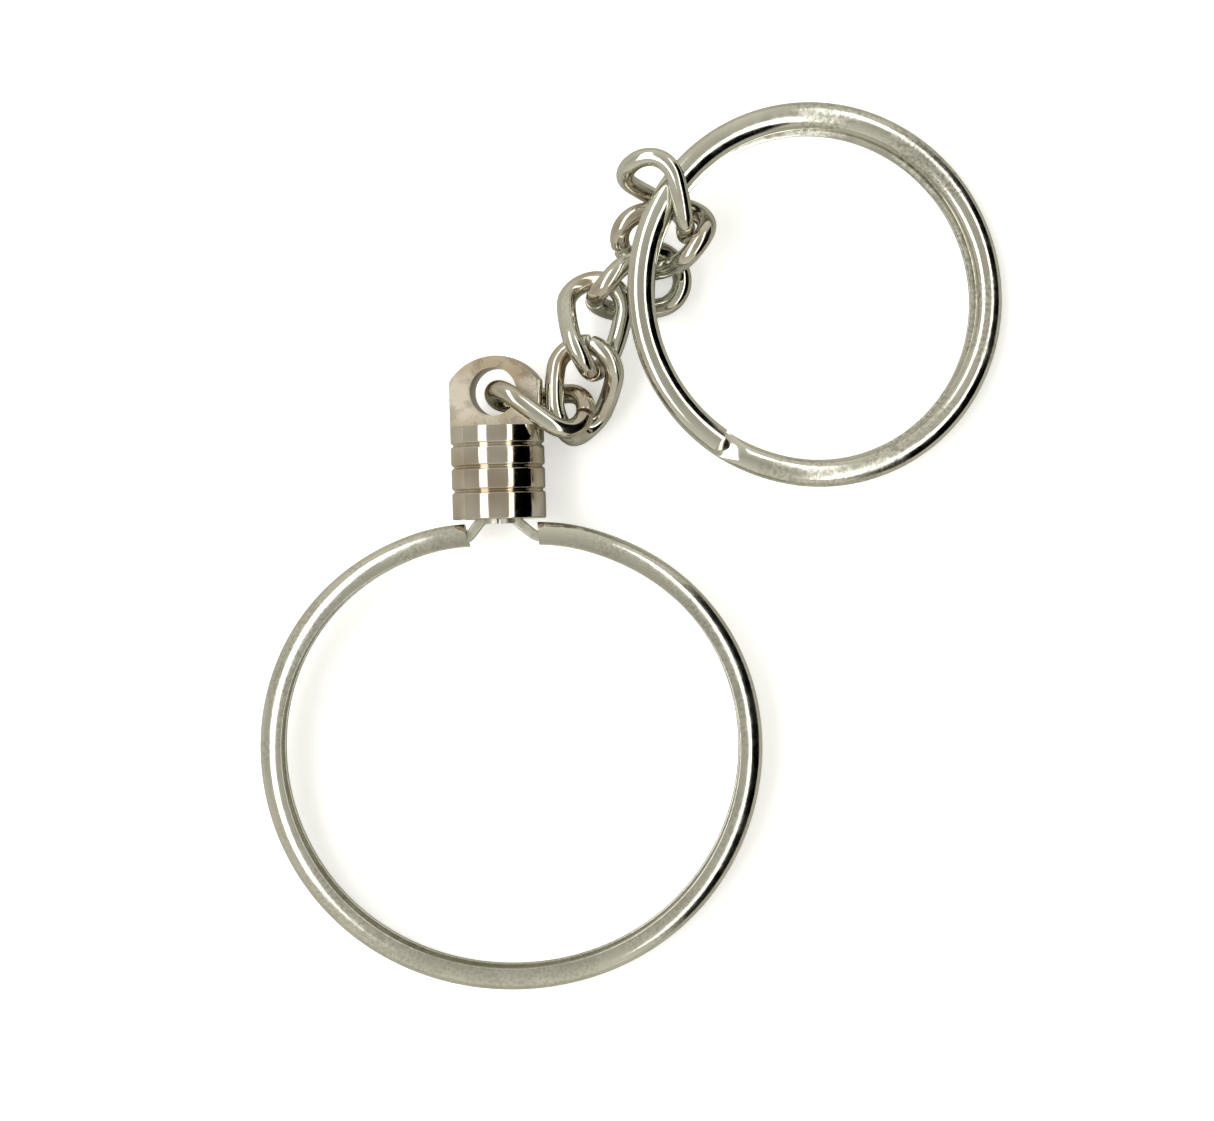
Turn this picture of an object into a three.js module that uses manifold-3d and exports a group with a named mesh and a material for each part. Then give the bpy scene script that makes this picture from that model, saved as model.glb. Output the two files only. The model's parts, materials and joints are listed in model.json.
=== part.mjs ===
// Coin-hoop key chain: a channel-section hoop closed by a screw barrel, a curb chain and a split ring.
// Millimetres, +Z up. The key chain lies on the plane z = 0, with the middle of its footprint at the origin.
import * as THREE from "three";
import { mergeVertices } from "three/addons/utils/BufferGeometryUtils.js";
import Module from "manifold-3d";

// ---------- driving dimensions ----------
// Places are measured from the hoop's centre, and FOOTPRINT_MIDDLE moves the whole to the origin.
const FOOTPRINT_MIDDLE = [9.59, 16.27];

const HOOP_RADIUS = 19.15; // mean outer radius: the web's inside clears a 38.1 mm coin
const HOOP_WIDER = 0.57; // the hoop is this much wider, and this much less tall, than a circle
const HOOP_SHOULDERS = 0.14; // fuller upper corners and a flatter foot
const HOOP_SQUARED = -0.08;
const STRIP = 0.45; // strip thickness
const CHANNEL_HEIGHT = 3.2;
const FLANGE_DEPTH = 1.8;
const CROWN_DEPTH = 1.6; // the flange rolls down to the web over this much of its depth
const CROWN_DROP = 1.05; // and by this much
const GAP_LEFT = degrees(101.5); // where the hoop's two ends stop, counted from +X
const GAP_RIGHT = degrees(83.5);
const END_DIP = 0.2; // the last stretch at each end is pulled in by this much
const END_DIP_ANGLE = degrees(13);

const BARREL_RADIUS = 3.65;
const BARREL_MOUTH = 18.3; // distance from the hoop's centre to the barrel's open end
const BARREL_LENGTH = 7.2; // from the mouth to the shoulder
const CAP_LENGTH = 12.7; // from the mouth to the crown of the tongue
const CROWN_RADIUS = 4.3; // of the tongue's round end
const GROOVES = [2.2, 4.05, 5.75]; // heights above the mouth
const GROOVE_DEPTH = 0.22; // of a right-angled V
const BORE_RADIUS = 1.95;
const BORE_DEPTH = 6.3;
const DRILL_POINT = 0.7; // height of the cone at the bore's end
const MOUTH_CHAMFER = 0.25; // inside
const MOUTH_EDGE = 0.15; // outside
const TONGUE_THICKNESS = 2.3;
const EYE_RADIUS = 1.85;
const EYE_HEIGHT = 9.85; // above the mouth
const CAP_LEAN = degrees(1.6); // the barrel's axis leans left of the hoop's own axis
const CAP_ROLL = degrees(-9); // the tongue is turned about the barrel's axis
const CAP_X = -0.9; // the mouth's middle, across the hoop

const STUD_RADIUS = 1.45; // thread core
const THREAD_CREST = 1.75;
const THREAD_PITCH = 0.8;
const STUD_SPLIT = 0.3; // slot between the two half-round studs
const STUD_LENGTH = 5.2; // above the mouth
const STUD_BASE = 0.35; // below the mouth
const THREAD_START = 0.3; // above the mouth
const FOOT_THICKNESS = 0.75;
const FOOT_WIDTH = 1.6;
const FOOT_CLEARANCE = 0.25; // from the inside of the web
const FOOT_ANGLE = degrees(9); // how far the foot runs into the channel
const FOOT_BEND = { across: 1.55, above: -0.3 }; // where it turns up to its post, from the mouth's middle
const FOOT_TOP = { across: 1, above: 0.2 }; // where it ends, inside the post

const WIRE = 1.5; // chain wire diameter
const LINK_HALF_LENGTH = 3.65; // of the wire's centre line
const LINK_HALF_WIDTH = 2.3;
const RING_LINK_WIRE = 1.4; // the link on the split ring is a little lighter and wider
const RING_LINK_HALF_WIDTH = 2.4;
const LINK_GAP = 0.3; // butt joint left open

const RING_RADIUS = 13.98; // centre line of the split ring
const RING_WIRE_WIDTH = 2.1; // across the ring's plane
const RING_DOME = 0.86; // height of the rounded outer side of each turn
const RING_EDGE = 0.14; // height of the wire's upright edges
const RING_BELLY = 0.06; // slight crown of the side that faces the other turn
const RING_TURN_GAP = 0.08; // between the two turns
const RING_INSET = 0.5; // the lower turn stands this far inside the upper one, opposite the ends
const RING_END = degrees(236); // where the upper turn ends
const RING_CROSSING = degrees(28); // over which the wire steps down to the lower turn

function degrees(angle) {
  return (angle * Math.PI) / 180;
}

function angleBetween(one, other) {
  const turn = Math.abs(one - other) % (2 * Math.PI);
  return Math.min(turn, 2 * Math.PI - turn);
}

// Each link's middle, then three angles in degrees: the way its cut end points in the table's plane,
// how far that end is raised, and its roll about its own length. twist is the turn from middle to end.
const LINKS = {
  eye_link: { at: [2.23, 27.10, 4.52], heading: -13, raise: 4, roll: -68, twist: 40 },
  chain_link_1: { at: [5.54, 28.31, 3.45], heading: 80, raise: 11, roll: 20, twist: -42 },
  chain_link_2: { at: [6.44, 33.39, 3.45], heading: 266, raise: 8, roll: -28, twist: -42 },
  chain_link_3: { at: [9.88, 36.70, 2.68], heading: 200, raise: 12, roll: -37, twist: -42 },
  chain_link_4: { at: [11.90, 40.14, 3.85], heading: 188, raise: -25, roll: 2, twist: -42 },
  ring_link: { at: [11.83, 43.24, 5.24], heading: -51.7, raise: -33, roll: 73, twist: 40 },
};
const RING_PLACE = { at: [23.82, 35.78, 3.63], raised_towards: 185.3, raise: 10.5 };

// ---------- geometry helpers ----------
const manifold = await Module();
manifold.setup();

// A closed geometry as a manifold solid.
function solid(geometry) {
  const shell = geometry.clone();
  shell.deleteAttribute("normal");
  shell.deleteAttribute("uv");
  const merged = mergeVertices(shell, 1e-4);
  return new manifold.Manifold(
    new manifold.Mesh({
      numProp: 3,
      vertProperties: merged.attributes.position.array,
      triVerts: new Uint32Array(merged.index.array),
    }),
  );
}

function geometryOf(body) {
  const mesh = body.getMesh();
  const geometry = new THREE.BufferGeometry();
  geometry.setAttribute("position", new THREE.BufferAttribute(mesh.vertProperties, 3));
  geometry.setIndex(new THREE.BufferAttribute(mesh.triVerts, 1));
  return geometry;
}

// A section pushed along a curve. On a flat curve in the XY plane the section's x runs down (-Z)
// and its y runs to the left of the way the curve goes.
function sweep(section, curve, steps) {
  const shape = new THREE.Shape(section);
  return new THREE.ExtrudeGeometry(shape, { steps, extrudePath: curve, bevelEnabled: false });
}

function arcPoints(x, y, radius, from, to, count) {
  const points = [];
  for (let i = 0; i <= count; i++) {
    const angle = from + ((to - from) * i) / count;
    points.push(new THREE.Vector2(x + radius * Math.cos(angle), y + radius * Math.sin(angle)));
  }
  return points;
}

// A quarter ellipse about (x, y), from (x + a, y) to (x, y + b). Either reach may be negative.
function ellipsePoints(x, y, a, b, count) {
  const points = [];
  for (let i = 0; i <= count; i++) {
    const angle = ((Math.PI / 2) * i) / count;
    points.push(new THREE.Vector2(x + a * Math.cos(angle), y + b * Math.sin(angle)));
  }
  return points;
}

// A closed skin through equal rings of points, with a flat end on the first and the last ring.
function skin(rings) {
  const count = rings[0].length;
  const index = [];
  for (let start = 0; start < (rings.length - 1) * count; start += count) {
    for (let k = 0; k < count; k++) {
      const here = start + k;
      const next = start + ((k + 1) % count);
      index.push(here, next + count, here + count, here, next, next + count);
    }
  }
  const last = (rings.length - 1) * count;
  for (let k = 1; k < count - 1; k++) {
    index.push(0, k + 1, k, last, last + k, last + k + 1);
  }
  const geometry = new THREE.BufferGeometry().setFromPoints(rings.flat());
  geometry.setIndex(index);
  return geometry;
}

class FormulaCurve extends THREE.Curve {
  constructor(pointAt) {
    super();
    this.pointAt = pointAt;
  }
  getPoint(t) {
    return this.pointAt(t);
  }
}

// ---------- the hoop ----------
// Outer radius of the hoop at an angle from +X.
function hoopRadius(angle) {
  const fromGap = Math.min(angleBetween(angle, GAP_LEFT), angleBetween(angle, GAP_RIGHT));
  const nearEnd = Math.max(0, 1 - fromGap / END_DIP_ANGLE);
  return (
    HOOP_RADIUS +
    HOOP_WIDER * Math.cos(2 * angle) +
    HOOP_SHOULDERS * Math.sin(3 * angle) +
    HOOP_SQUARED * Math.cos(4 * angle) -
    END_DIP * nearEnd * nearEnd
  );
}

function hoopPoint(angle, depth) {
  const radius = hoopRadius(angle) - depth;
  return new THREE.Vector3(radius * Math.cos(angle), radius * Math.sin(angle), 0);
}

// The rolled strip: x is height, y is depth inward from the web's outside.
function channelSection() {
  const top = CHANNEL_HEIGHT / 2;
  const spring = top - CROWN_DROP;
  const outerCrown = ellipsePoints(spring, CROWN_DEPTH, CROWN_DROP, -CROWN_DEPTH, 6);
  const innerCrown = ellipsePoints(spring, CROWN_DEPTH, CROWN_DROP - STRIP, STRIP - CROWN_DEPTH, 4);
  const outside = [...outerCrown.reverse(), new THREE.Vector2(top, FLANGE_DEPTH)];
  const inside = [new THREE.Vector2(top - STRIP, FLANGE_DEPTH), ...innerCrown];
  const upperHalf = [...outside, ...inside];
  const lowerHalf = upperHalf.map((p) => new THREE.Vector2(-p.x, p.y)).reverse();
  return [...upperHalf, ...lowerHalf];
}

function coinHoop() {
  const sweepAngle = GAP_RIGHT + 2 * Math.PI - GAP_LEFT;
  const curve = new FormulaCurve((t) => hoopPoint(GAP_LEFT + sweepAngle * t, 0));
  return sweep(channelSection(), curve, 64);
}

// ---------- the stud halves and the barrel ----------
// Their shared axis is +Y, with y = 0 at the barrel's mouth.
function studProfile() {
  const points = [new THREE.Vector2(0, -STUD_BASE), new THREE.Vector2(STUD_RADIUS, -STUD_BASE)];
  for (let y = THREAD_START; y + THREAD_PITCH < STUD_LENGTH; y += THREAD_PITCH) {
    points.push(new THREE.Vector2(STUD_RADIUS, y));
    points.push(new THREE.Vector2(THREAD_CREST, y + THREAD_PITCH / 2));
  }
  const tip = STUD_RADIUS - (THREAD_CREST - STUD_RADIUS);
  points.push(new THREE.Vector2(tip, STUD_LENGTH), new THREE.Vector2(0, STUD_LENGTH));
  return points;
}

// The foot's centre line: round inside the channel, then up across the gap to the post.
// side is -1 for the left half and 1 for the right.
function footRoute(side) {
  const end = side < 0 ? GAP_LEFT : GAP_RIGHT;
  const depth = STRIP + FOOT_CLEARANCE + FOOT_THICKNESS / 2;
  const inChannel = [1, 2 / 3, 1 / 3, 0].map((part) => hoopPoint(end - side * FOOT_ANGLE * part, depth));
  const [bend, top] = [FOOT_BEND, FOOT_TOP].map(
    (at) => new THREE.Vector3(CAP_X + side * at.across, BARREL_MOUTH + at.above, 0),
  );
  return new THREE.CatmullRomCurve3([...inChannel, bend, top]);
}

// One half of the threaded stud with its foot.
function studHalf(side) {
  const post = solid(new THREE.LatheGeometry(studProfile(), 20));
  const slab = new THREE.BoxGeometry(2 * BARREL_RADIUS, 3 * STUD_LENGTH, 2 * BARREL_RADIUS);
  slab.translate(side * (BARREL_RADIUS + STUD_SPLIT / 2), 0, 0);
  const halfPost = post.intersect(solid(slab));
  const x = FOOT_WIDTH / 2;
  const y = FOOT_THICKNESS / 2;
  const bar = [
    new THREE.Vector2(-x, -y),
    new THREE.Vector2(x, -y),
    new THREE.Vector2(x, y),
    new THREE.Vector2(-x, y),
  ];
  const foot = sweep(bar, footRoute(side), 12).applyMatrix4(stemMatrix().invert());
  return geometryOf(halfPost.add(solid(foot)));
}

// From the barrel's own frame to the hoop's.
function stemMatrix() {
  const lean = new THREE.Matrix4().makeRotationZ(CAP_LEAN);
  return lean.setPosition(CAP_X, BARREL_MOUTH, 0);
}

function capProfile() {
  const crownMiddle = CAP_LENGTH - CROWN_RADIUS;
  const cornerAngle = Math.acos(BARREL_RADIUS / CROWN_RADIUS);
  const points = [
    new THREE.Vector2(0, BORE_DEPTH + DRILL_POINT),
    new THREE.Vector2(BORE_RADIUS, BORE_DEPTH),
    new THREE.Vector2(BORE_RADIUS, MOUTH_CHAMFER),
    new THREE.Vector2(BORE_RADIUS + MOUTH_CHAMFER, 0),
    new THREE.Vector2(BARREL_RADIUS - MOUTH_EDGE, 0),
    new THREE.Vector2(BARREL_RADIUS, MOUTH_EDGE),
  ];
  for (const height of GROOVES) {
    points.push(new THREE.Vector2(BARREL_RADIUS, height - GROOVE_DEPTH));
    points.push(new THREE.Vector2(BARREL_RADIUS - GROOVE_DEPTH, height));
    points.push(new THREE.Vector2(BARREL_RADIUS, height + GROOVE_DEPTH));
  }
  const crown = arcPoints(0, crownMiddle, CROWN_RADIUS, cornerAngle, Math.PI / 2, 7);
  points.push(...crown.slice(0, -1), new THREE.Vector2(0, CAP_LENGTH));
  return points;
}

// The barrel is turned, its far end is milled to a flat tongue, and the eye is drilled through that.
function barrelCap() {
  const across = 3 * BARREL_RADIUS;
  const milled = BARREL_RADIUS;
  let body = solid(new THREE.LatheGeometry(capProfile(), 40));
  for (const side of [-1, 1]) {
    const cut = new THREE.BoxGeometry(across, across, milled);
    cut.translate(0, BARREL_LENGTH + across / 2, (side * (TONGUE_THICKNESS + milled)) / 2);
    body = body.subtract(solid(cut));
  }
  const drill = new THREE.CylinderGeometry(EYE_RADIUS, EYE_RADIUS, across, 32);
  drill.rotateX(Math.PI / 2).translate(0, EYE_HEIGHT, 0);
  return geometryOf(body.subtract(solid(drill))).rotateY(CAP_ROLL);
}

// ---------- the chain ----------
// A link's centre line: an oval with round ends, twisted about its length, cut at its +X end.
function linkCurve(halfWidth, twist) {
  const straight = 2 * (LINK_HALF_LENGTH - halfWidth);
  const around = 2 * straight + 2 * Math.PI * halfWidth;
  return new FormulaCurve((t) => {
    const run = LINK_GAP / 2 + (around - LINK_GAP) * t;
    const flat = ovalPoint(run, straight, halfWidth);
    const turn = (degrees(twist) * flat.x) / LINK_HALF_LENGTH;
    return new THREE.Vector3(flat.x, flat.y * Math.cos(turn), flat.y * Math.sin(turn));
  });
}

// The point that lies a distance run round the flat oval, counted from its +X end.
function ovalPoint(run, straight, radius) {
  const quarter = (Math.PI / 2) * radius;
  const around = 4 * quarter + 2 * straight;
  if (run > around / 2) {
    const mirrored = ovalPoint(around - run, straight, radius);
    return { x: mirrored.x, y: -mirrored.y };
  }
  const onStraight = Math.min(Math.max(run - quarter, 0), straight);
  const angle = (run - onStraight) / radius;
  return { x: straight / 2 - onStraight + radius * Math.cos(angle), y: radius * Math.sin(angle) };
}

function link(wire, halfWidth, twist) {
  const round = arcPoints(0, 0, wire / 2, 0, 2 * Math.PI, 8).slice(0, 8);
  return sweep(round, linkCurve(halfWidth, twist), 40);
}

// ---------- the split ring ----------
// (outward, up) points round the wire, whose outer side is domed and whose other side is nearly
// flat. lower is 0 on the upper turn, 1 on the lower, where the dome faces down.
function ringSection(lower) {
  const reach = RING_WIRE_WIDTH / 2;
  const top = RING_DOME + (RING_BELLY - RING_DOME) * lower;
  const bottom = RING_DOME + RING_BELLY - top;
  const edge = RING_EDGE / 2;
  const rightTop = ellipsePoints(0, edge, reach, top, 5);
  const leftTop = ellipsePoints(0, edge, -reach, top, 5).reverse().slice(1);
  const leftBottom = ellipsePoints(0, -edge, -reach, -bottom, 5);
  const rightBottom = ellipsePoints(0, -edge, reach, -bottom, 5).reverse().slice(1);
  return [...rightTop, ...leftTop, ...leftBottom, ...rightBottom];
}

// One wire in two turns: it starts on top at RING_END, goes clockwise, steps down over
// RING_CROSSING and runs round again underneath.
function splitRing() {
  const steps = 120;
  const turn = 2 * Math.PI - RING_CROSSING;
  const rise = (RING_TURN_GAP + RING_EDGE) / 2 + RING_BELLY;
  const rings = [];
  for (let i = 0; i <= steps; i++) {
    const gone = ((2 * turn + RING_CROSSING) * i) / steps;
    const lower = THREE.MathUtils.smoothstep(gone, turn, turn + RING_CROSSING);
    const angle = RING_END - gone;
    const middle = rise * (1 - 2 * lower);
    const inset = (lower * RING_INSET * (1 - Math.cos(angle - RING_END))) / 2;
    const section = ringSection(lower).map((p) => {
      const radius = RING_RADIUS - inset + p.x;
      return new THREE.Vector3(radius * Math.cos(angle), radius * Math.sin(angle), middle + p.y);
    });
    rings.push(section);
  }
  return skin(rings);
}

// ---------- the assembly ----------
function nickel(color, roughness) {
  return new THREE.MeshStandardMaterial({ color, roughness, metalness: 1 });
}

function named(name, geometry, material) {
  const mesh = new THREE.Mesh(geometry, material);
  mesh.name = name;
  return mesh;
}

// The hoop and the barrel lie as one rigid stem on the hoop's foot and the barrel's mouth.
function stem() {
  const foot = hoopRadius(1.5 * Math.PI);
  const group = new THREE.Group();
  group.rotation.x = Math.atan2(BARREL_RADIUS - CHANNEL_HEIGHT / 2, BARREL_MOUTH + foot);
  const drop = foot * Math.sin(group.rotation.x);
  group.position.z = drop + (CHANNEL_HEIGHT / 2) * Math.cos(group.rotation.x);

  group.add(named("coin_hoop", coinHoop(), nickel(0xc9c5bb, 0.2)));
  const barrel = new THREE.Group();
  barrel.applyMatrix4(stemMatrix());
  barrel.add(named("stud_half_left", studHalf(-1), nickel(0xb9b5ab, 0.3)));
  barrel.add(named("stud_half_right", studHalf(1), nickel(0xb9b5ab, 0.3)));
  barrel.add(named("barrel_cap", barrelCap(), nickel(0xc4beb2, 0.18)));
  group.add(barrel);
  return group;
}

function placedLink(name, place) {
  const onRing = name === "ring_link";
  const wire = onRing ? RING_LINK_WIRE : WIRE;
  const halfWidth = onRing ? RING_LINK_HALF_WIDTH : LINK_HALF_WIDTH;
  const mesh = named(name, link(wire, halfWidth, place.twist), nickel(0xc6c2b8, 0.2));
  mesh.rotation.set(degrees(place.roll), degrees(-place.raise), degrees(place.heading), "ZYX");
  mesh.position.set(...place.at);
  return mesh;
}

function placedRing() {
  const mesh = named("split_ring", splitRing(), nickel(0xccc8be, 0.2));
  const towards = degrees(RING_PLACE.raised_towards);
  const hinge = new THREE.Vector3(Math.sin(towards), -Math.cos(towards), 0);
  mesh.setRotationFromAxisAngle(hinge, degrees(RING_PLACE.raise));
  mesh.position.set(...RING_PLACE.at);
  return mesh;
}

const keyChain = new THREE.Group();
keyChain.position.set(-FOOTPRINT_MIDDLE[0], -FOOTPRINT_MIDDLE[1], 0);
keyChain.add(stem());
for (const [name, place] of Object.entries(LINKS)) keyChain.add(placedLink(name, place));
keyChain.add(placedRing());

export default keyChain;
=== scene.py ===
"""Looks of the coin-hoop key chain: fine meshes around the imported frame, a white table and soft light."""

import json
import math

import bmesh
import bpy
from mathutils import Euler, Matrix, Vector


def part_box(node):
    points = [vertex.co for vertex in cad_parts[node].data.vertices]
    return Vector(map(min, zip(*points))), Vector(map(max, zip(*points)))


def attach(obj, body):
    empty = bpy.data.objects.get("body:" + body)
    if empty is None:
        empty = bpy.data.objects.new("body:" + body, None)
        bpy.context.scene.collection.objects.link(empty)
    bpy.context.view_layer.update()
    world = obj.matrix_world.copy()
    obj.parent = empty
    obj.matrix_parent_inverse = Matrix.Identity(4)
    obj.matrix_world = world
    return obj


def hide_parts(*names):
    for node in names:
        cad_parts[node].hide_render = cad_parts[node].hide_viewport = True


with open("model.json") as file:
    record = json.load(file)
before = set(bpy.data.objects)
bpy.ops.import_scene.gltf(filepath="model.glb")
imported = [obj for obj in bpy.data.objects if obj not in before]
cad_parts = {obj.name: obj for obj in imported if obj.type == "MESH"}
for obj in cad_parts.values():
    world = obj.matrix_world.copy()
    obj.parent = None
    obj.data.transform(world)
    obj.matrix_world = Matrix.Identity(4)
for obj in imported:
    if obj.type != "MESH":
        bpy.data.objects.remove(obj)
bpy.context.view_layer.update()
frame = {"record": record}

# ---------- sizes, in millimetres: the CAD's own, but where a line says that they differ ----------
MM = 0.001

HOOP_RADIUS = 19.15  # mean outer radius
HOOP_WIDER = 0.57  # the hoop is this much wider, and this much less tall, than a circle
HOOP_SHOULDERS = 0.14  # fuller upper corners and a flatter foot
HOOP_SQUARED = -0.08
STRIP = 0.45  # strip thickness
CHANNEL_HEIGHT = 3.2
FLANGE_DEPTH = 1.8
CROWN_DEPTH = 1.6  # the flange rolls down to the web over this much of its depth
CROWN_DROP = 1.05  # and by this much
LIP = 0.09  # rounding of the flanges' edges; the CAD's are square
GAP_LEFT = math.radians(101.5)  # where the hoop's two ends stop, counted from +X
GAP_RIGHT = math.radians(83.5)
END_DIP = 0.2  # the last stretch at each end is pulled in by this much
END_DIP_ANGLE = math.radians(13)
SLANT = math.radians(1.3)  # the right end is cut back by this much at its lips; the CAD's end is straight
SLANT_SHARPNESS = 60  # how quickly the slant fades away from the end

BARREL_RADIUS = 3.65
BARREL_MOUTH = 18.3  # distance from the hoop's centre to the barrel's open end
BARREL_LENGTH = 7.2  # from the mouth to the shoulder
CAP_LENGTH = 12.7  # from the mouth to the crown of the tongue
CROWN_RADIUS = 4.3  # of the tongue's round end
GROOVES = (2.2, 4.05, 5.75)  # heights above the mouth
GROOVE_DEPTH = 0.2  # 0.22 in the CAD
GROOVE_HALF_WIDTH = 0.26  # 0.22 in the CAD
GROOVE_SHARPNESS = 1.3  # above 1, the root is narrower than a plain wave's
BORE_RADIUS = 1.95
BORE_DEPTH = 6.3
DRILL_POINT = 0.7  # height of the cone at the bore's end
MOUTH_CHAMFER = 0.25  # inside
MOUTH_EDGE = 0.12  # outside, rounded; 0.15 and straight in the CAD
TONGUE_THICKNESS = 2.3
EYE_RADIUS = 1.85
EYE_HEIGHT = 9.85  # above the mouth
CAP_LEAN = math.radians(1.6)  # the barrel's axis leans left of the hoop's own axis
CAP_ROLL = math.radians(-9)  # the tongue is turned about the barrel's axis
CAP_X = -0.9  # the mouth's middle, across the hoop
EASED_EDGE = 0.07  # on the cap's sharp edges, which the CAD leaves sharp
EASED_FROM = math.radians(55)  # edges that bend less stay as they are

STUD_RADIUS = 1.45  # thread core
THREAD_CREST = 1.74  # 1.75 in the CAD
THREAD_PITCH = 0.8
THREAD_START = 0.1  # above the mouth; 0.3 in the CAD, whose thread doesn't fade in
THREAD_RUN_IN = 0.4  # the ridge rises over this height
THREAD_RUN_OUT = 0.5  # and fades over this one
STUD_SPLIT = 0.3  # slot between the two half-round studs
STUD_LENGTH = 5.2  # above the mouth
STUD_BASE = 0.35  # below the mouth
STUD_CHAMFER = 0.35  # at the tip, which tapers by 0.3 in the CAD
FOOT_THICKNESS = 0.75
FOOT_WIDTH = 1.6
FOOT_CORNER = 0.12  # rounding of the foot's edges, which are square in the CAD
FOOT_CLEARANCE = 0.25  # from the inside of the web
FOOT_ANGLE = math.radians(9)  # how far the foot runs into the channel
FOOT_BEND = (1.55, -0.3)  # across and above the mouth's middle: where the foot turns up to its post
FOOT_TOP = (1.0, 0.2)  # where it ends, inside the post

WIRE = 1.5  # chain wire diameter
RING_LINK_WIRE = 1.4  # the link on the split ring is a little lighter and wider
LINK_HALF_LENGTH = 3.65  # of the wire's centre line
LINK_HALF_WIDTH = 2.3
RING_LINK_HALF_WIDTH = 2.4
LINK_GAP = 0.3  # butt joint left open
WIRE_EASE = 0.1  # rounding of the wire's cut ends, which are square in the CAD

RING_RADIUS = 13.98  # centre line of the split ring
RING_WIRE_WIDTH = 2.1  # across the ring's plane
RING_DOME = 0.86  # height of the rounded outer side of each turn
RING_EDGE = 0.14  # height of the wire's upright edges
RING_BELLY = 0.06  # slight crown of the side that faces the other turn
RING_TURN_GAP = 0.08  # between the two turns
RING_INSET = 0.5  # how far the lower turn stands inside the upper one, opposite the ends
RING_END = math.radians(236)  # where the upper turn ends
RING_CROSSING = math.radians(28)  # over which the wire steps down to the lower turn
RING_CRIMP = math.radians(9)  # its last stretch, where the dome is pressed flat; the CAD uses all of it

# Each link's middle from the hoop's centre, then degrees: heading, raise and roll, and its twist,
# which is the turn of its wire from the link's middle to its end. No formula gives these places or the
# split ring's: a fitting program set them by the photograph, with room between the wires, as in the CAD.
LINKS = {
    "eye_link": ((2.23, 27.10, 4.52), -13, 4, -68, 40),
    "chain_link_1": ((5.54, 28.31, 3.45), 80, 11, 20, -42),
    "chain_link_2": ((6.44, 33.39, 3.45), 266, 8, -28, -42),
    "chain_link_3": ((9.88, 36.70, 2.68), 200, 12, -37, -42),
    "chain_link_4": ((11.90, 40.14, 3.85), 188, -25, 2, -42),
    "ring_link": ((11.83, 43.24, 5.24), -51.7, -33, 73, 40),
}
RING_AT = (23.82, 35.78, 3.63)
RING_RAISED_TOWARDS = math.radians(185.3)
RING_RAISE = math.radians(10.5)

BODY_OF = {node: body for body, nodes in frame["record"]["behaviour"]["bodies"].items() for node in nodes}


# ---------- places ----------
def hoop_radius(angle):
    """From the hoop's centre to the web's outside."""

    def between(a, b):
        turn = abs(a - b) % math.tau
        return min(turn, math.tau - turn)

    near_end = max(0.0, 1 - min(between(angle, GAP_LEFT), between(angle, GAP_RIGHT)) / END_DIP_ANGLE)
    return (
        HOOP_RADIUS
        + HOOP_WIDER * math.cos(2 * angle)
        + HOOP_SHOULDERS * math.sin(3 * angle)
        + HOOP_SQUARED * math.cos(4 * angle)
        - END_DIP * near_end**2
    )


def hoop_point(angle, depth=0.0, height=0.0):
    """A point in the stem's own axes, depth inwards from the web's outside."""
    radius = hoop_radius(angle) - depth
    return Vector((radius * math.cos(angle), radius * math.sin(angle), height))


# The hoop and the barrel are one stem, which rests on the hoop's foot and the barrel's mouth.
FOOT = hoop_radius(1.5 * math.pi)
STEM_TILT = math.atan2(BARREL_RADIUS - CHANNEL_HEIGHT / 2, BARREL_MOUTH + FOOT)
STEM_RAISE = FOOT * math.sin(STEM_TILT) + CHANNEL_HEIGHT / 2 * math.cos(STEM_TILT)


def hoop_centre():
    """The hoop's centre on the table, from the CAD hoop's own box."""
    low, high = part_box("coin_hoop")
    web_half = CHANNEL_HEIGHT / 2 - CROWN_DROP
    below = FOOT * math.cos(STEM_TILT) + web_half * math.sin(STEM_TILT)
    return Vector(((low.x + high.x) / 2 / MM, low.y / MM + below, 0))


HOOP_CENTRE = hoop_centre()
STEM = Matrix.Translation(HOOP_CENTRE + Vector((0, 0, STEM_RAISE))) @ Matrix.Rotation(STEM_TILT, 4, "X")
CAP = STEM @ Matrix.Translation((CAP_X, BARREL_MOUTH, 0)) @ Matrix.Rotation(CAP_LEAN, 4, "Z")
TURNED_CAP = CAP @ Matrix.Rotation(CAP_ROLL, 4, "Y")


def link_place(name):
    """From a link's own axes, its length along X, to where it lies."""
    at, heading, raised, roll, _ = LINKS[name]
    turn = Euler((math.radians(roll), math.radians(-raised), math.radians(heading)), "XYZ").to_matrix()
    return Matrix.Translation(HOOP_CENTRE + Vector(at)) @ turn.to_4x4()


def ring_place():
    """From the split ring's own axes, its plane level, to where it leans on the chain."""
    hinge = Vector((math.sin(RING_RAISED_TOWARDS), -math.cos(RING_RAISED_TOWARDS), 0))
    return Matrix.Translation(HOOP_CENTRE + Vector(RING_AT)) @ Matrix.Rotation(RING_RAISE, 4, hinge)


# ---------- mesh helpers ----------
SHARP_ANGLE = math.radians(30)


def clamped(share):
    return min(1, max(0, share))


def smooth_step(share):
    share = clamped(share)
    return share * share * (3 - 2 * share)


def arc(x, y, radius_x, radius_y, start, end, count):
    """Points of an elliptical arc, both ends included, angles in degrees."""
    points = []
    for i in range(count + 1):
        angle = math.radians(start + (end - start) * i / count)
        points.append((x + radius_x * math.cos(angle), y + radius_y * math.sin(angle)))
    return points


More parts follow.
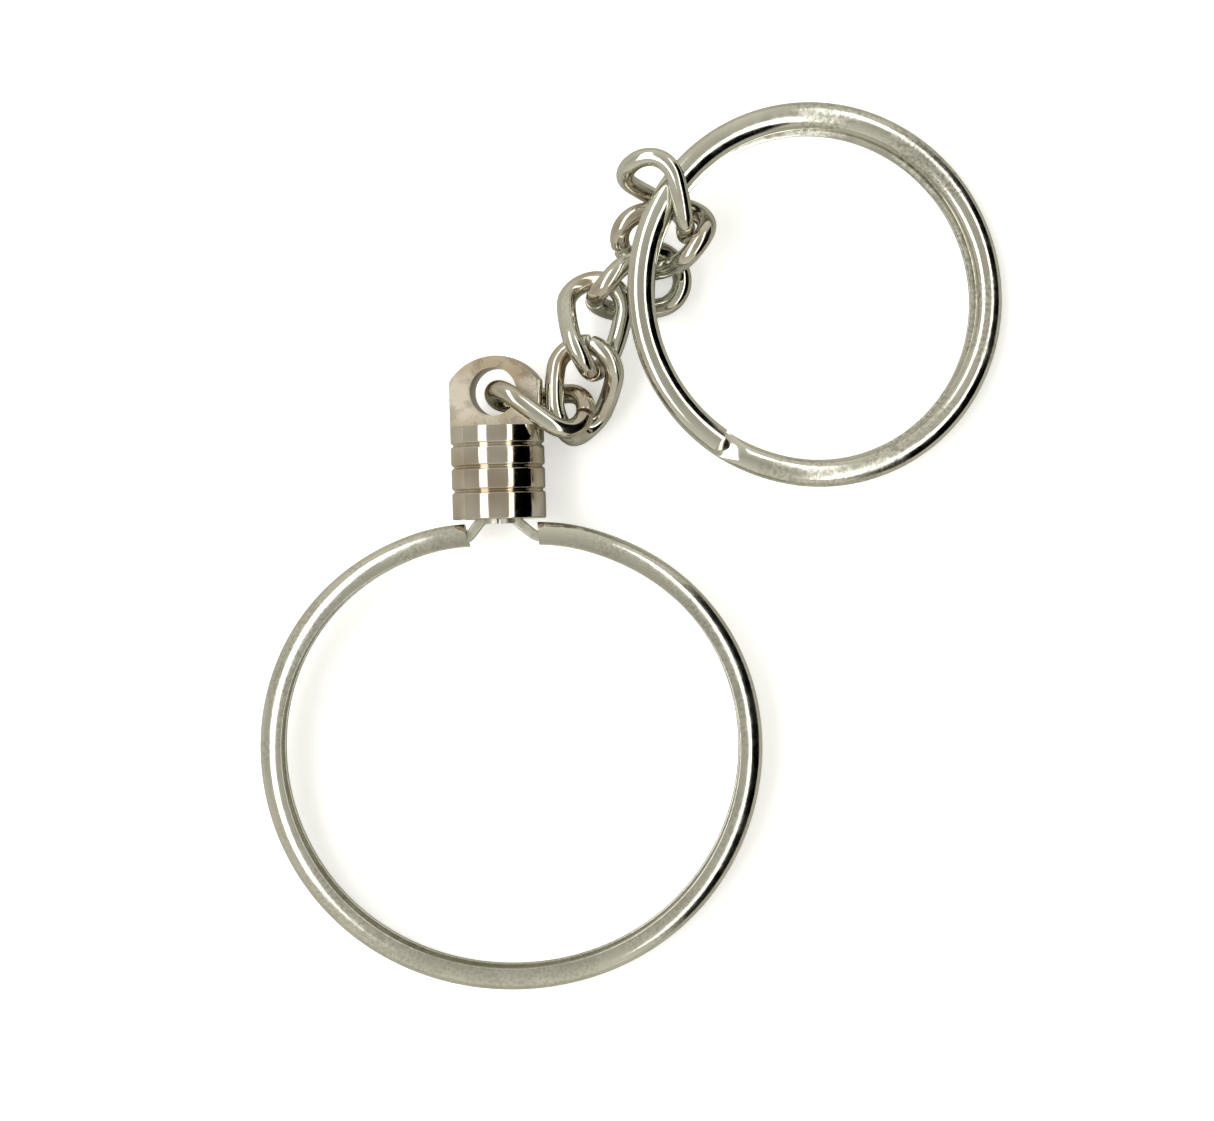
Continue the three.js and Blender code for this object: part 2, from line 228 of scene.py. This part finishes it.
def tube(rings):
    """A closed tube through equal rings of points, with a flat cap at each end."""
    made = bmesh.new()
    loops = [[made.verts.new(p) for p in ring] for ring in rings]
    count = len(rings[0])
    for one, two in zip(loops, loops[1:]):
        for k in range(count):
            n = (k + 1) % count
            made.faces.new((one[k], one[n], two[n], two[k]))
    made.faces.new(loops[0][::-1])
    made.faces.new(loops[-1])
    bmesh.ops.recalc_face_normals(made, faces=made.faces)
    return made


def lathe(profile, steps):
    """A solid of revolution about +Y from (radius, height) points whose first and last lie on the axis."""
    made = bmesh.new()
    rings = []
    for radius, height in profile:
        if radius == 0:
            rings.append([made.verts.new((0, height, 0))])
            continue
        turns = [math.tau * k / steps for k in range(steps)]
        rings.append([made.verts.new((radius * math.cos(a), height, radius * math.sin(a))) for a in turns])
    for one, two in zip(rings, rings[1:]):
        for k in range(steps):
            n = (k + 1) % steps
            corners = [one[k % len(one)], one[n % len(one)], two[n % len(two)], two[k % len(two)]]
            made.faces.new(list(dict.fromkeys(corners)))
    bmesh.ops.recalc_face_normals(made, faces=made.faces)
    return made


def block(size, middle):
    """A plain box, only ever used to cut or crop a piece."""
    made = bmesh.new()
    bmesh.ops.create_cube(made, size=1, matrix=Matrix.Translation(middle) @ Matrix.Diagonal((*size, 1)))
    return made


def to_object(name, made, place=Matrix.Identity(4)):
    """A mesh object, its vertices moved to their place in the row frame, in metres."""
    bmesh.ops.transform(made, matrix=Matrix.Scale(MM, 4) @ place, verts=made.verts)
    mesh = bpy.data.meshes.new(name)
    made.to_mesh(mesh)
    made.free()
    piece = bpy.data.objects.new(name, mesh)
    bpy.context.scene.collection.objects.link(piece)
    return piece


def applied(piece):
    """Turns the piece's modifiers into mesh."""
    graph = bpy.context.evaluated_depsgraph_get()
    mesh = bpy.data.meshes.new_from_object(piece.evaluated_get(graph))
    piece.modifiers.clear()
    piece.data = mesh
    return piece


def combine(piece, other, operation):
    """Cuts, joins or crops the piece with another object, which is used up."""
    cut = piece.modifiers.new("cut", "BOOLEAN")
    cut.operation = operation
    cut.solver = "EXACT"
    cut.object = other
    applied(piece)
    bpy.data.objects.remove(other)


def ease_edges(piece):
    bevel = piece.modifiers.new("eased edges", "BEVEL")
    bevel.width = EASED_EDGE * MM
    bevel.segments = 3
    bevel.limit_method = "ANGLE"
    bevel.angle_limit = EASED_FROM
    return applied(piece)


def finish_piece(piece, node, material):
    """Smooth shading led by the large faces, the material, and the CAD node that the piece stands for."""
    for face in piece.data.polygons:
        face.use_smooth = True
    piece.data.set_sharp_from_angle(angle=SHARP_ANGLE)
    weighted = piece.modifiers.new("large faces lead", "WEIGHTED_NORMAL")
    weighted.weight = 100
    weighted.keep_sharp = True
    applied(piece)
    piece.data.materials.clear()
    piece.data.materials.append(material)
    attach(piece, BODY_OF[node])
    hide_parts(node)
    return piece


# ---------- the hoop ----------
def channel_section():
    """(depth, height) points round the rolled strip, from the middle of its web's outside."""
    top = CHANNEL_HEIGHT / 2
    spring = top - CROWN_DROP
    outer = arc(CROWN_DEPTH, spring, CROWN_DEPTH, CROWN_DROP, 180, 90, 14)
    lip = arc(FLANGE_DEPTH - LIP, top - LIP, LIP, LIP, 90, 0, 4)
    under = arc(FLANGE_DEPTH - LIP, top - STRIP + LIP, LIP, LIP, 0, -90, 4)
    inner = arc(CROWN_DEPTH, spring, CROWN_DEPTH - STRIP, CROWN_DROP - STRIP, 90, 180, 10)
    half = outer + lip + under + inner
    return half + [(depth, -height) for depth, height in reversed(half)]


def coin_hoop():
    """The rolled strip, swept from the left end round to the right one."""
    section = channel_section()
    steps = 480
    rings = []
    for i in range(steps + 1):
        angle = GAP_LEFT + (GAP_RIGHT + math.tau - GAP_LEFT) * i / steps
        cut = SLANT * (i / steps) ** SLANT_SHARPNESS / FLANGE_DEPTH
        rings.append([hoop_point(angle - cut * depth, depth, height) for depth, height in section])
    return to_object("hoop_channel", tube(rings), STEM)


# ---------- the stud halves ----------
def threaded_post():
    """The threaded rod before it is split: a ridge that climbs one pitch a turn and fades at both ends."""
    around, along = 64, 90
    rings = []
    for j in range(along + 1):
        height = -STUD_BASE + (STUD_LENGTH + STUD_BASE) * j / along
        from_top = STUD_LENGTH - height
        fade = clamped((height - THREAD_START) / THREAD_RUN_IN) * clamped(from_top / THREAD_RUN_OUT)
        chamfer = max(0, STUD_CHAMFER - from_top)
        ring = []
        for k in range(around):
            turn = k / around
            phase = (height / THREAD_PITCH + turn) % 1
            ridge = (THREAD_CREST - STUD_RADIUS) * (0.5 - 0.5 * math.cos(math.tau * phase)) * fade
            radius = STUD_RADIUS + ridge - chamfer
            ring.append((radius * math.cos(math.tau * turn), height, radius * math.sin(math.tau * turn)))
        rings.append(ring)
    return tube(rings)


def foot_bar(side):
    """The flat foot that runs from the post into the channel, along a smooth route."""
    end = GAP_LEFT if side < 0 else GAP_RIGHT
    depth = STRIP + FOOT_CLEARANCE + FOOT_THICKNESS / 2
    thirds = 3
    route = [hoop_point(end - side * FOOT_ANGLE * left / thirds, depth) for left in range(thirds, -1, -1)]
    for aside, above in (FOOT_BEND, FOOT_TOP):
        route.append(Vector((CAP_X + side * aside, BARREL_MOUTH + above, 0)))
    x = FOOT_THICKNESS / 2 - FOOT_CORNER
    y = FOOT_WIDTH / 2 - FOOT_CORNER
    section = []
    for sx, sy, start in ((1, 1, 0), (-1, 1, 90), (-1, -1, 180), (1, -1, 270)):
        section += arc(sx * x, sy * y, FOOT_CORNER, FOOT_CORNER, start, start + 90, 3)
    rings = []
    for point, tangent in smooth_route(route, 10):
        across = Vector((-tangent.y, tangent.x, 0)).normalized()
        rings.append([point + across * u + Vector((0, 0, v)) for u, v in section])
    return tube(rings)


def smooth_route(points, per_span):
    """Points and tangents of a Catmull-Rom curve through the given points."""
    padded = [2 * points[0] - points[1], *points, 2 * points[-1] - points[-2]]
    made = []
    for a, b, c, d in zip(padded, padded[1:], padded[2:], padded[3:]):
        square = 2 * a - 5 * b + 4 * c - d
        cube = 3 * b - a - 3 * c + d
        count = per_span + 1 if c is points[-1] else per_span
        for i in range(count):
            t = i / per_span
            point = 0.5 * (2 * b + (c - a) * t + square * t**2 + cube * t**3)
            slope = 0.5 * ((c - a) + 2 * square * t + 3 * cube * t**2)
            made.append((point, slope.normalized()))
    return made


def stud_half(side):
    """One half of the threaded post, cropped by a slab on its own side of the split, with its foot."""
    word = "left" if side < 0 else "right"
    post = to_object(f"threaded_half_{word}", threaded_post(), CAP)
    slab_size = (4, 12, 8)
    slab_middle = (side * (slab_size[0] + STUD_SPLIT) / 2, 2, 0)
    combine(post, to_object("slab", block(slab_size, slab_middle), CAP), "INTERSECT")
    combine(post, to_object("foot", foot_bar(side), STEM), "UNION")
    return post


# ---------- the barrel ----------
def cap_profile():
    """(radius, height) from the bore's end, out at the mouth and up the outside to the crown."""
    corner_height = CAP_LENGTH - CROWN_RADIUS + math.sqrt(CROWN_RADIUS**2 - BARREL_RADIUS**2)
    corner_angle = math.degrees(math.acos(BARREL_RADIUS / CROWN_RADIUS))
    profile = [(0, BORE_DEPTH + DRILL_POINT), (BORE_RADIUS, BORE_DEPTH)]
    profile += [(BORE_RADIUS, MOUTH_CHAMFER), (BORE_RADIUS + MOUTH_CHAMFER, 0)]
    profile += arc(BARREL_RADIUS - MOUTH_EDGE, MOUTH_EDGE, MOUTH_EDGE, MOUTH_EDGE, -90, 0, 4)
    for height in GROOVES:
        profile += groove(height)
    profile.append((BARREL_RADIUS, corner_height))
    crown = arc(0, CAP_LENGTH - CROWN_RADIUS, CROWN_RADIUS, CROWN_RADIUS, corner_angle, 90, 24)
    profile += crown[1:-1]
    profile.append((0, CAP_LENGTH))
    return profile


def groove(height):
    """A shallow V with a round root and eased lips."""
    points = []
    half = 6
    for i in range(-half, half + 1):
        reach = i / half
        depth = GROOVE_DEPTH * (0.5 + 0.5 * math.cos(math.pi * reach)) ** GROOVE_SHARPNESS
        points.append((BARREL_RADIUS - depth, height + GROOVE_HALF_WIDTH * reach))
    return points


def barrel_cap():
    """The turned body, milled on two sides to leave the tongue, and drilled through for the eye."""
    cap = to_object("barrel_body", lathe(cap_profile(), 160), TURNED_CAP)
    length, depth = 10, 4
    for side in (-1, 1):
        middle = (0, BARREL_LENGTH + length / 2, side * (TONGUE_THICKNESS + depth) / 2)
        cutter = to_object("cutter", block((length, length, depth), middle), TURNED_CAP)
        combine(cap, cutter, "DIFFERENCE")
    drill = bmesh.new()
    sizes = {"radius1": EYE_RADIUS, "radius2": EYE_RADIUS, "depth": length}
    bmesh.ops.create_cone(drill, segments=96, cap_ends=True, **sizes)
    bmesh.ops.translate(drill, verts=drill.verts, vec=(0, EYE_HEIGHT, 0))
    combine(cap, to_object("drill", drill, TURNED_CAP), "DIFFERENCE")
    return ease_edges(cap)


def mill_flats(cap, material):
    """Gives the tongue's two flat sides their own finish."""
    cap.data.materials.append(material)
    to_tongue = TURNED_CAP.inverted()
    for face in cap.data.polygons:
        height = (to_tongue @ (face.center / MM)).y
        facing = abs((to_tongue.to_3x3() @ face.normal).z)
        if height > BARREL_LENGTH and facing > 0.99:
            face.material_index = 1


# ---------- the chain ----------
def oval_point(run, straight, radius):
    """The point a distance run round a flat oval, counted from its +X end."""
    quarter = math.pi / 2 * radius
    around = 4 * quarter + 2 * straight
    if run > around / 2:
        x, y = oval_point(around - run, straight, radius)
        return x, -y
    on_straight = min(max(run - quarter, 0), straight)
    angle = (run - on_straight) / radius
    return straight / 2 - on_straight + radius * math.cos(angle), radius * math.sin(angle)


def eased_end(radius, way):
    """(shift, radius) of the rings that round a cut end; way is 1 at the wire's start and -1 at its end."""
    angles = (0, 0.5, 1.0)
    rounds = []
    for angle in angles[::way]:
        shift = way * WIRE_EASE * (1 - math.cos(angle))
        rounds.append((shift, radius - WIRE_EASE * (1 - math.sin(angle))))
    return rounds


def wire_rings(centres, radius, around):
    """Round rings along a centre line, carried without spinning, with eased cut ends."""
    tangents = []
    for i in range(len(centres)):
        ahead = centres[min(i + 1, len(centres) - 1)]
        behind = centres[max(i - 1, 0)]
        tangents.append((ahead - behind).normalized())
    across = tangents[0].orthogonal().normalized()
    rings = []
    for i, (centre, tangent) in enumerate(zip(centres, tangents)):
        across = (across - tangent * across.dot(tangent)).normalized()
        up = tangent.cross(across)
        radii = [(0, radius)]
        if i == 0:
            radii = eased_end(radius, 1)
        if i == len(centres) - 1:
            radii = eased_end(radius, -1)
        for shift, size in radii:
            middle = centre + tangent * shift
            turns = [math.tau * k / around for k in range(around)]
            rings.append([middle + across * size * math.cos(a) + up * size * math.sin(a) for a in turns])
    return rings


def chain_link(name):
    """A twisted oval of round wire, open at its butt joint."""
    twist = math.radians(LINKS[name][4])
    on_ring = name == "ring_link"
    wire = RING_LINK_WIRE if on_ring else WIRE
    half_width = RING_LINK_HALF_WIDTH if on_ring else LINK_HALF_WIDTH
    straight = 2 * (LINK_HALF_LENGTH - half_width)
    total = 2 * straight + math.tau * half_width
    steps = 180
    centres = []
    for i in range(steps + 1):
        x, y = oval_point(LINK_GAP / 2 + (total - LINK_GAP) * i / steps, straight, half_width)
        turn = twist * x / LINK_HALF_LENGTH
        centres.append(Vector((x, y * math.cos(turn), y * math.sin(turn))))
    return to_object(name + "_wire", tube(wire_rings(centres, wire / 2, 28)), link_place(name))


# ---------- the split ring ----------
def ring_section(flat):
    """(outward, up) points round the wire, whose dome faces up where flat is 0 and down where it is 1."""
    reach = RING_WIRE_WIDTH / 2
    top = RING_DOME + (RING_BELLY - RING_DOME) * flat
    bottom = RING_DOME + RING_BELLY - top
    edge = RING_EDGE / 2
    return arc(0, edge, reach, top, 0, 180, 24) + arc(0, -edge, reach, bottom, 180, 360, 24)


def split_ring():
    """One wire in two turns: the upper one, the crossing down from it, and the lower one."""
    turn = math.tau - RING_CROSSING
    total = 2 * turn + RING_CROSSING
    rise = (RING_TURN_GAP + RING_EDGE) / 2 + RING_BELLY
    steps = 720
    rings = []
    for i in range(steps + 1):
        gone = total * i / steps
        lower = smooth_step((gone - turn) / RING_CROSSING)
        flat = smooth_step((gone - turn - RING_CROSSING + RING_CRIMP) / RING_CRIMP)
        angle = RING_END - gone
        out = Vector((math.cos(angle), math.sin(angle), 0))
        inset = lower * RING_INSET * (1 - math.cos(angle - RING_END)) / 2
        middle = out * (RING_RADIUS - inset) + Vector((0, 0, rise * (1 - 2 * lower)))
        rings.append([middle + out * u + Vector((0, 0, v)) for u, v in ring_section(flat)])
    return to_object("ring_coil", tube(rings), ring_place())


# ---------- materials ----------
class Nodes:
    """Fills the emptied node tree of a material or a world."""

    def __init__(self, owner):
        owner.use_nodes = True
        self.tree = owner.node_tree
        self.tree.nodes.clear()

    def add(self, kind, inputs=None, **settings):
        """Adds a node; an input that is given a socket is linked to it, and any other is set."""
        node = self.tree.nodes.new(kind)
        for key, value in settings.items():
            setattr(node, key, value)
        for key, value in (inputs or {}).items():
            if isinstance(value, bpy.types.NodeSocket):
                self.tree.links.new(value, node.inputs[key])
            else:
                node.inputs[key].default_value = value
        return node

    def math(self, operation, *operands):
        return self.add("ShaderNodeMath", dict(enumerate(operands)), operation=operation).outputs[0]

    def between(self, source, low, high, start=0, end=1):
        """Goes smoothly from start to end as source goes from low to high; high may be the lower one."""
        inputs = {"Value": source, "From Min": low, "From Max": high, "To Min": start, "To Max": end}
        return self.add("ShaderNodeMapRange", inputs, interpolation_type="SMOOTHSTEP").outputs["Result"]

    def blend(self, share, one, two):
        """The first colour where share is 0, the second where it is 1."""
        return self.add("ShaderNodeMix", {0: share, 6: one, 7: two}, data_type="RGBA").outputs[2]

    def bump(self, height, depth, strength=1, below=None):
        """A surface normal roughened by height, over the normal below it; depth is in millimetres."""
        inputs = {"Height": height, "Distance": depth * MM, "Strength": strength}
        if below is not None:
            inputs["Normal"] = below
        return self.add("ShaderNodeBump", inputs).outputs["Normal"]


NICKEL = (0.76, 0.75, 0.665, 1)
CHAIN_NICKEL = (0.73, 0.73, 0.65, 1)
GREY = (0.65, 0.645, 0.57, 1)
ETCHED = (0.50, 0.49, 0.42, 1)
WARM = (0.69, 0.65, 0.56, 1)
BROWN = (0.54, 0.45, 0.34, 1)
MILLED = (0.58, 0.53, 0.43, 1)
MILLED_STAIN = (0.34, 0.26, 0.16, 1)

# Noise scales, in waves per metre.
ETCHED_PATCHES = 170
STAINS = 190
RIPPLES = 700
POLISH = 900
PITS = 3400
GRAIN = 4200

PIT_DEPTH = 0.009
GRAIN_DEPTH = 0.0012
ETCHED_ROUGHNESS = 0.12
RUB_MARGIN = 6 * MM  # the split ring stays bright this far in from its chain side
RUB_WIDTH = 6 * MM  # and the wear comes on over this width


def nickel(name, colour, stain, roughness, ripple, etched, rubbed_from=None):
    """Bright nickel plate with soft stains, uneven polish, ripples and worn patches.

    ripple is a depth in millimetres. The worn patches start at the X that rubbed_from gives, if it does.
    """
    material = bpy.data.materials.new(name)
    nodes = Nodes(material)
    place = nodes.add("ShaderNodeTexCoord").outputs["Object"]

    def noise(scale, detail):
        """An uneven grey round 0.5: the limits it is cut at say how much of the surface shows a thing."""
        inputs = {"Vector": place, "Scale": scale, "Detail": detail, "Roughness": 0.55}
        return nodes.add("ShaderNodeTexNoise", inputs).outputs["Fac"]

    etch = nodes.between(noise(ETCHED_PATCHES, 2), 0.37, 0.56, 0, etched)
    if rubbed_from is not None:
        across = nodes.add("ShaderNodeSeparateXYZ", {"Vector": place}).outputs["X"]
        beyond = nodes.between(across, rubbed_from, rubbed_from + RUB_WIDTH)
        etch = nodes.math("MULTIPLY", etch, beyond)
    pits = noise(PITS, 2)
    pitted = nodes.math("MULTIPLY", etch, nodes.between(pits, 0.42, 0.62))
    stained = nodes.blend(nodes.between(noise(STAINS, 2), 0.42, 0.66, 0, 0.8), colour, stain)
    polish = nodes.between(noise(POLISH, 5), 0.3, 0.7, roughness * 0.6, roughness * 1.5)
    surface = nodes.bump(noise(RIPPLES, 2), ripple)
    surface = nodes.bump(pits, PIT_DEPTH, etch, surface)
    surface = nodes.bump(noise(GRAIN, 3), GRAIN_DEPTH, 1, surface)
    inputs = {
        "Base Color": nodes.blend(pitted, stained, ETCHED),
        "Metallic": 1.0,
        "Roughness": nodes.math("MULTIPLY_ADD", etch, ETCHED_ROUGHNESS, polish),
        "Normal": surface,
    }
    shader = nodes.add("ShaderNodeBsdfPrincipled", inputs)
    nodes.add("ShaderNodeOutputMaterial", {"Surface": shader.outputs["BSDF"]})
    return material


# ---------- build ----------
RUB_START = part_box("split_ring")[0].x + RUB_MARGIN
HOOP_METAL = nickel("hoop nickel", NICKEL, GREY, roughness=0.11, ripple=0.010, etched=0.5)
STUD_METAL = nickel("stud nickel", NICKEL, GREY, roughness=0.35, ripple=0.004, etched=0.2)
BARREL_METAL = nickel("barrel nickel", WARM, BROWN, roughness=0.08, ripple=0.003, etched=0)
MILLED_METAL = nickel("milled nickel", MILLED, MILLED_STAIN, roughness=0.3, ripple=0.004, etched=0.1)
CHAIN_METAL = nickel("chain nickel", CHAIN_NICKEL, BROWN, roughness=0.10, ripple=0.012, etched=0.2)
RING_METAL = nickel(
    "ring nickel", NICKEL, GREY, roughness=0.11, ripple=0.010, etched=1, rubbed_from=RUB_START
)

finish_piece(coin_hoop(), "coin_hoop", HOOP_METAL)
finish_piece(stud_half(-1), "stud_half_left", STUD_METAL)
finish_piece(stud_half(1), "stud_half_right", STUD_METAL)
mill_flats(finish_piece(barrel_cap(), "barrel_cap", BARREL_METAL), MILLED_METAL)
for link_name in LINKS:
    finish_piece(chain_link(link_name), link_name, CHAIN_METAL)
finish_piece(split_ring(), "split_ring", RING_METAL)


# ---------- table, light and camera ----------
WHITE = (1, 1, 1, 1)
TABLE_SEEN = (0.93, 0.93, 0.93, 1)
TABLE_MIRRORED = (0.44, 0.43, 0.385, 1)
TABLE_VEIL = (1, 1, 0.96, 1)
TABLE_VEIL_STRENGTH = 0.42
TABLE_HALF_WIDTH = 2000


def table():
    """A white table that the metal mirrors as a mid grey; a veil of light keeps its shadows faint."""
    made = bmesh.new()
    bmesh.ops.create_grid(made, x_segments=1, y_segments=1, size=TABLE_HALF_WIDTH)
    top = to_object("table", made)
    material = bpy.data.materials.new("white table")
    nodes = Nodes(material)
    seen = nodes.add("ShaderNodeLightPath").outputs["Is Camera Ray"]
    paint = nodes.add("ShaderNodeBsdfDiffuse", {"Color": nodes.blend(seen, TABLE_MIRRORED, TABLE_SEEN)})
    veil = {"Color": TABLE_VEIL, "Strength": nodes.math("MULTIPLY", seen, TABLE_VEIL_STRENGTH)}
    glow = nodes.add("ShaderNodeEmission", veil)
    shader = nodes.add("ShaderNodeAddShader", {0: paint.outputs[0], 1: glow.outputs[0]})
    nodes.add("ShaderNodeOutputMaterial", {"Surface": shader.outputs[0]})
    top.data.materials.append(material)


# The strips hang in a level ceiling one unit above the object: side is the way to +X, along to +Y.
LEFT_STRIP = {"side": (-1.0, -0.47), "side_soft": 0.05, "along": (-0.7, 1.3)}
RIGHT_STRIP = {"side": (0.52, 0.80), "side_soft": 0.02, "along": (-1.3, 1.3)}
STRIP_END_SOFT = 0.15
STRIP_STRENGTH = 2.4
ROOM_STRENGTH = 0.42  # overhead
ROOM_LOW_EXTRA = 0.06  # more light low down
ROOM_END_EXTRA = 0.22  # and towards both ends of the Y axis
ROOM_TINT = (1, 0.965, 0.85)
DARK_BEARINGS = (math.radians(-55), math.radians(45))
DARK_BEARING_SOFT = 0.08
DARK_BEYOND = (0.84, 0.9)  # side at which the darkness starts and is full


def studio():
    """A plain room of soft light: two bright strips beside the camera and one dark side, at +X."""
    world = bpy.data.worlds.new("studio")
    bpy.context.scene.world = world
    nodes = Nodes(world)
    generated = nodes.add("ShaderNodeTexCoord").outputs["Generated"]
    way = nodes.add("ShaderNodeSeparateXYZ", {"Vector": generated})
    height = nodes.math("MAXIMUM", way.outputs["Z"], 0.02)
    side = nodes.math("DIVIDE", way.outputs["X"], height)
    along = nodes.math("DIVIDE", way.outputs["Y"], height)

    def window(source, reach, soft):
        """1 where source is within its reach, 0 outside."""
        low, high = reach
        opens = nodes.between(source, low - soft, low + soft)
        closes = nodes.between(source, high + soft, high - soft)
        return nodes.math("MULTIPLY", opens, closes)

    def light_strip(strip):
        across = window(side, strip["side"], strip["side_soft"])
        return nodes.math("MULTIPLY", across, window(along, strip["along"], STRIP_END_SOFT))

    bearing = nodes.math("ARCTAN2", way.outputs["Y"], way.outputs["X"])
    facing_dark = window(bearing, DARK_BEARINGS, DARK_BEARING_SOFT)
    dark_side = nodes.math("MULTIPLY", facing_dark, nodes.between(side, *DARK_BEYOND))
    low_down = nodes.math("MULTIPLY", nodes.between(way.outputs["Z"], 1.0, 0.1), ROOM_LOW_EXTRA)
    ends = nodes.math("MULTIPLY", nodes.math("ABSOLUTE", way.outputs["Y"]), ROOM_END_EXTRA)
    room = nodes.math("ADD", nodes.math("ADD", low_down, ROOM_STRENGTH), ends)
    room = nodes.math("MULTIPLY", room, nodes.math("SUBTRACT", 1, dark_side))
    strips = nodes.math("ADD", light_strip(LEFT_STRIP), light_strip(RIGHT_STRIP))
    strips = nodes.math("MULTIPLY", strips, STRIP_STRENGTH)
    tinted = nodes.add("ShaderNodeVectorMath", {0: ROOM_TINT, "Scale": room}, operation="SCALE")
    total = nodes.add("ShaderNodeVectorMath", {0: tinted.outputs[0], 1: strips}, operation="ADD")
    seen = nodes.add("ShaderNodeLightPath").outputs["Is Camera Ray"]
    colour = nodes.blend(seen, total.outputs[0], WHITE)
    background = nodes.add("ShaderNodeBackground", {"Color": colour, "Strength": 1})
    nodes.add("ShaderNodeOutputWorld", {"Surface": background.outputs[0]})


KEY_AT = Vector((-0.30, -0.02, 0.32))  # metres
KEY_SIZE = 0.45
KEY_WATTS = 1.2


def soft_key():
    """A broad light from the left, unseen in the metal, for the faint shadows on the right."""
    data = bpy.data.lights.new("soft key", "AREA")
    data.shape = "DISK"
    data.size = KEY_SIZE
    data.energy = KEY_WATTS
    lamp = bpy.data.objects.new("soft key", data)
    lamp.location = KEY_AT
    lamp.rotation_euler = (-KEY_AT).to_track_quat("-Z", "Y").to_euler()
    lamp.visible_glossy = False
    bpy.context.scene.collection.objects.link(lamp)


# Places on the table are counted from the hoop's centre, in millimetres.
CAMERA_HEIGHT = 207
VIEW_WIDTH = 96.5
VIEW_MIDDLE = (7.46, 15.20)
LENS_FOOT = (8.49, 5.62)  # the point straight below the lens, which isn't the picture's middle


def camera():
    """Looks straight down, with the shift that frames the object as the crop does."""
    data = bpy.data.cameras.new("camera")
    data.sensor_width = 36
    data.lens = data.sensor_width * CAMERA_HEIGHT / VIEW_WIDTH
    data.shift_x = (VIEW_MIDDLE[0] - LENS_FOOT[0]) / VIEW_WIDTH
    data.shift_y = (VIEW_MIDDLE[1] - LENS_FOOT[1]) / VIEW_WIDTH
    eye = bpy.data.objects.new("camera", data)
    eye.location = (HOOP_CENTRE + Vector((*LENS_FOOT, CAMERA_HEIGHT))) * MM
    data.clip_start, data.clip_end = 0.01, 10
    bpy.context.scene.collection.objects.link(eye)
    bpy.context.scene.camera = eye


table()
studio()
soft_key()
camera()
bpy.context.scene.view_settings.view_transform = "Standard"
